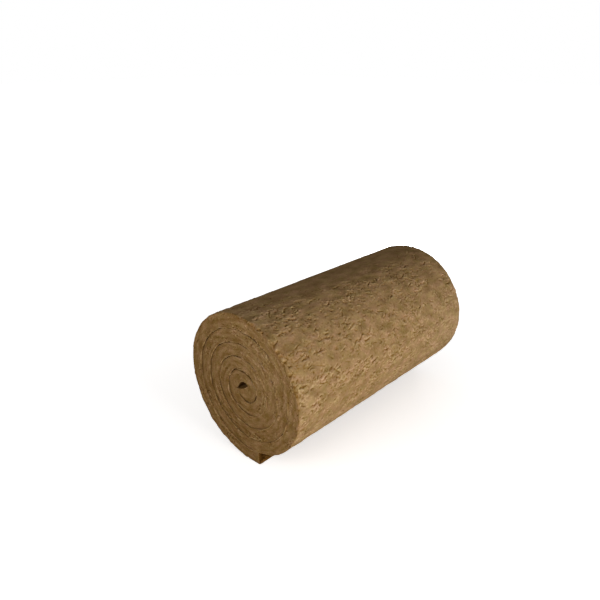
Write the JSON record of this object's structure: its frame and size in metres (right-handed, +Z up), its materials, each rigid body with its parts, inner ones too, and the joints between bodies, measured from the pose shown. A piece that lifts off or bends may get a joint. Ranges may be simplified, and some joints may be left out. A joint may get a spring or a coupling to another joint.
{
  "type": "insulation roll",
  "caption": "Thick mineral-wool mat wound in a spiral round a narrow centre gap, lying on its side with its free end flat underneath; unrolls to insulate lofts and walls.",
  "frame": {"origin": "on the floor, under the middle of the roll's bounding box", "axes": "+Z up; +Y along the axis of the roll; +X to the right as seen along +Y, the side where the mat's free end is"},
  "size_m": [0.5444, 1, 0.5674],
  "materials": {
    "stone_wool": "matt brown mineral fibre"
  },
  "bodies": {
    "root": {"wool_mat": "stone_wool"}
  },
  "joints": []
}
